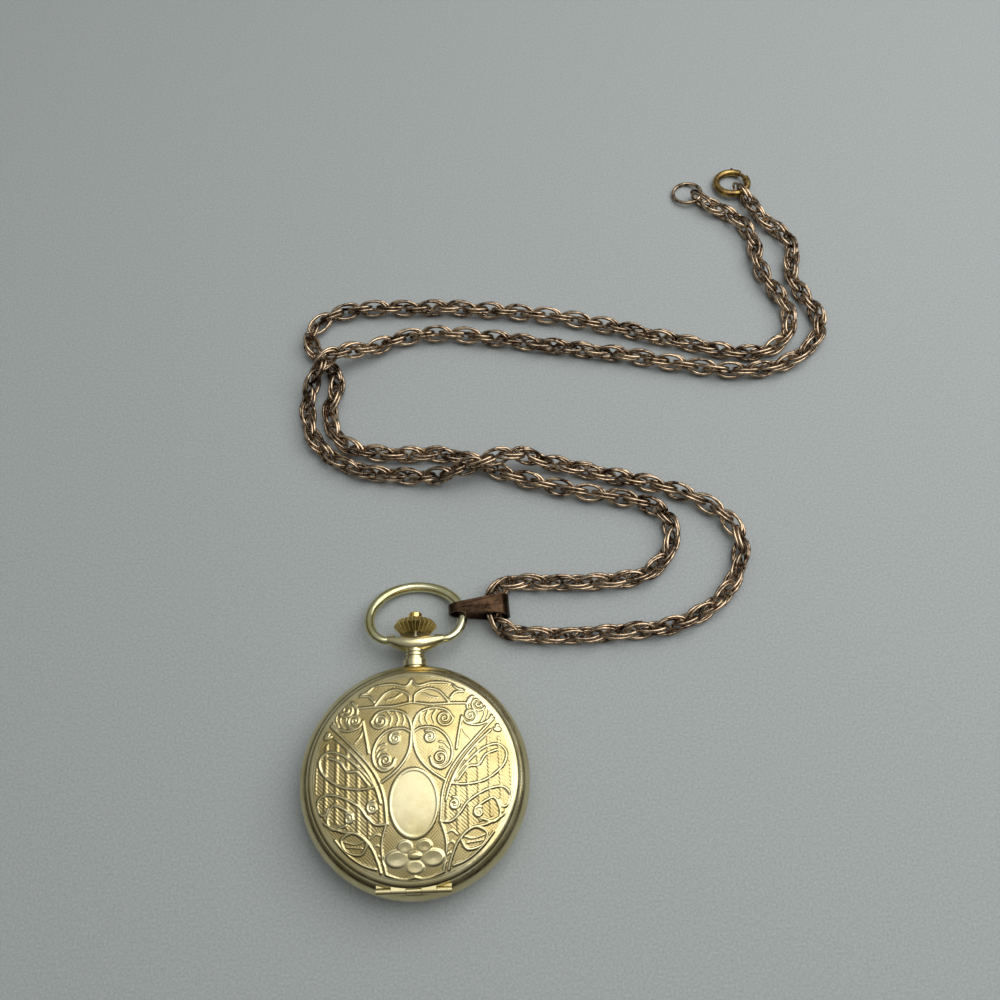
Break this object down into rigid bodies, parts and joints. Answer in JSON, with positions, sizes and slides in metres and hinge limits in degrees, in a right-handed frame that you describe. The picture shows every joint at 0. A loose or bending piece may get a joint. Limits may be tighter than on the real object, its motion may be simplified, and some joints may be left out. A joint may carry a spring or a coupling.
{
  "type": "pendant watch",
  "caption": "Hunter-case pendant watch with a domed lid, fluted crown, oval bow and folded bail, on a long double-link chain with a spring-ring clasp.",
  "frame": {"origin": "centre of the flat on the case back, where the watch lies on the table", "axes": "+Z out of the lid, +Y from the watch's centre to its crown, +X to the right of the dial"},
  "size_m": [0.1364, 0.1918, 0.013],
  "materials": {
    "case_gold": "polished, pale greenish gold",
    "crown_gold": "polished, warm gold",
    "chain_bronze": "tarnished, rose bronze",
    "bail_brown": "dark tarnish",
    "clasp_brass": "worn yellow brass",
    "movement_gilt": "gilt, matt",
    "steel": "polished steel",
    "blued_steel": "blued steel",
    "dial_white": "smooth white",
    "crystal_clear": "clear",
    "ruby": "clear red"
  },
  "bodies": {
    "case": {"case_band": "case_gold", "back_cover": "case_gold", "lid_hinge_pin": "case_gold", "bezel_ring": "case_gold", "crystal": "crystal_clear", "lid_lift_spring": "steel", "lid_catch_spring": "steel", "pendant": "case_gold", "pendant_sleeve": "steel", "main_plate": "movement_gilt", "movement_ring": "movement_gilt", "case_screws": "blued_steel", "barrel_bridge": "movement_gilt", "train_bridge": "movement_gilt", "bridge_screws": "blued_steel", "balance_cock": "movement_gilt", "pallet_bridge": "movement_gilt", "jewels": "ruby", "click_spring": "steel", "hairspring": "blued_steel", "setting_lever": "steel", "dial": "dial_white", "jump_ring": "chain_bronze", "clasp_body": "clasp_brass", "clasp_spring": "steel", "chain_upper": "chain_bronze", "chain_lower": "chain_bronze"},
    "lid": {"front_lid": "case_gold"},
    "stem": {"winding_stem": "steel", "sliding_clutch": "steel", "winding_pinion": "steel"},
    "crown": {"crown": "crown_gold"},
    "bow": {"bow": "case_gold"},
    "bail": {"bail": "bail_brown"},
    "clasp_lever": {"clasp_lever": "clasp_brass"},
    "barrel": {"barrel": "movement_gilt", "mainspring": "steel"},
    "ratchet_wheel": {"ratchet_wheel": "steel"},
    "crown_wheel": {"crown_wheel": "steel"},
    "click": {"click": "steel"},
    "centre_wheel": {"centre_wheel": "movement_gilt"},
    "third_wheel": {"third_wheel": "movement_gilt"},
    "fourth_wheel": {"fourth_wheel": "movement_gilt", "second_hand": "blued_steel"},
    "escape_wheel": {"escape_wheel": "steel"},
    "minute_hand": {"cannon_pinion": "steel", "minute_hand": "blued_steel"},
    "minute_wheel": {"minute_wheel": "movement_gilt"},
    "hour_hand": {"hour_wheel": "movement_gilt", "hour_hand": "blued_steel"},
    "pallet_fork": {"pallet_fork": "steel"},
    "balance_wheel": {"balance_wheel": "movement_gilt"}
  },
  "joints": [
    {"name": "lid_hinge", "type": "hinge", "parent": "case", "child": "lid", "pos_m": [0, -0.02215, 0.0093], "axis": [1, 0, 0], "range_deg": [0, 100]},
    {"name": "crown_turn", "type": "hinge", "parent": "case", "child": "stem", "pos_m": [0, 0.03, 0.0061], "axis": [0, 1, 0], "continuous": true},
    {"name": "crown_press", "type": "slide", "parent": "stem", "child": "crown", "axis": [0, 1, 0], "range_m": [-0.0004, 0.0009], "stiffness_N_per_m": 150},
    {"name": "bow_swing", "type": "hinge", "parent": "case", "child": "bow", "pos_m": [0, 0.03005, 0.0061], "axis": [1, 0, 0], "range_deg": [0, 155], "deforming": ["chain_upper", "chain_lower"]},
    {"name": "bail_swivel", "type": "hinge", "parent": "bow", "child": "bail", "pos_m": [0.01018, 0.03753, 0.00349], "axis": [0.2589, -0.9122, 0.3176], "range_deg": [-75, 25]},
    {"name": "clasp_slide", "type": "hinge", "parent": "case", "child": "clasp_lever", "pos_m": [0.08882, 0.16189, 0.00161], "axis": [-0.0695, 0.1228, 0.99], "range_deg": [0, 33], "stiffness_Nm_per_rad": 0.008, "deforming": ["clasp_spring"]},
    {"name": "seconds_turn", "type": "hinge", "parent": "case", "child": "fourth_wheel", "pos_m": [0, -0.0088, 0.0053], "axis": [0, 0, 1], "continuous": true},
    {"name": "third_wheel_turn", "type": "hinge", "parent": "case", "child": "third_wheel", "pos_m": [0.00456, -0.00498, 0.0053], "axis": [0, 0, 1], "continuous": true},
    {"name": "centre_wheel_turn", "type": "hinge", "parent": "case", "child": "centre_wheel", "pos_m": [0, 0, 0.0053], "axis": [0, 0, 1], "continuous": true},
    {"name": "barrel_turn", "type": "hinge", "parent": "case", "child": "barrel", "pos_m": [-0.00589, 0.00599, 0.0053], "axis": [0, 0, 1], "continuous": true},
    {"name": "escape_wheel_turn", "type": "hinge", "parent": "case", "child": "escape_wheel", "pos_m": [-0.0049, -0.01078, 0.0053], "axis": [0, 0, 1], "continuous": true},
    {"name": "minute_hand_turn", "type": "hinge", "parent": "case", "child": "minute_hand", "pos_m": [0, 0, 0.0053], "axis": [0, 0, 1], "continuous": true},
    {"name": "minute_wheel_turn", "type": "hinge", "parent": "case", "child": "minute_wheel", "pos_m": [0.00192, 0.00333, 0.0053], "axis": [0, 0, 1], "continuous": true},
    {"name": "hour_hand_turn", "type": "hinge", "parent": "case", "child": "hour_hand", "pos_m": [0, 0, 0.0053], "axis": [0, 0, 1], "continuous": true},
    {"name": "crown_wheel_turn", "type": "hinge", "parent": "case", "child": "crown_wheel", "pos_m": [0, 0.01014, 0.0053], "axis": [0, 0, 1], "continuous": true},
    {"name": "ratchet_wheel_turn", "type": "hinge", "parent": "case", "child": "ratchet_wheel", "pos_m": [-0.00589, 0.00599, 0.0053], "axis": [0, 0, 1], "continuous": true},
    {"name": "click_rock", "type": "hinge", "parent": "case", "child": "click", "pos_m": [-0.0115, 0.00698, 0.0053], "axis": [0, 0, 1], "range_deg": [-8, 0]},
    {"name": "pallet_rock", "type": "hinge", "parent": "case", "child": "pallet_fork", "pos_m": [-0.00754, -0.00872, 0.0053], "axis": [0, 0, 1], "range_deg": [-5, 5]},
    {"name": "balance_swing", "type": "hinge", "parent": "case", "child": "balance_wheel", "pos_m": [-0.01029, -0.00656, 0.0053], "axis": [0, 0, 1], "range_deg": [-270, 270], "deforming": ["hairspring"]}
  ],
  "couplings": [
    {"joint": "third_wheel_turn", "follows": "seconds_turn", "ratio": -0.13333},
    {"joint": "centre_wheel_turn", "follows": "seconds_turn", "ratio": 0.016667},
    {"joint": "barrel_turn", "follows": "seconds_turn", "ratio": -0.0027778},
    {"joint": "escape_wheel_turn", "follows": "seconds_turn", "ratio": -10},
    {"joint": "minute_wheel_turn", "follows": "minute_hand_turn", "ratio": -0.33333},
    {"joint": "hour_hand_turn", "follows": "minute_hand_turn", "ratio": 0.083333},
    {"joint": "crown_wheel_turn", "follows": "crown_turn", "ratio": 0.46667},
    {"joint": "ratchet_wheel_turn", "follows": "crown_turn", "ratio": -0.33333}
  ]
}
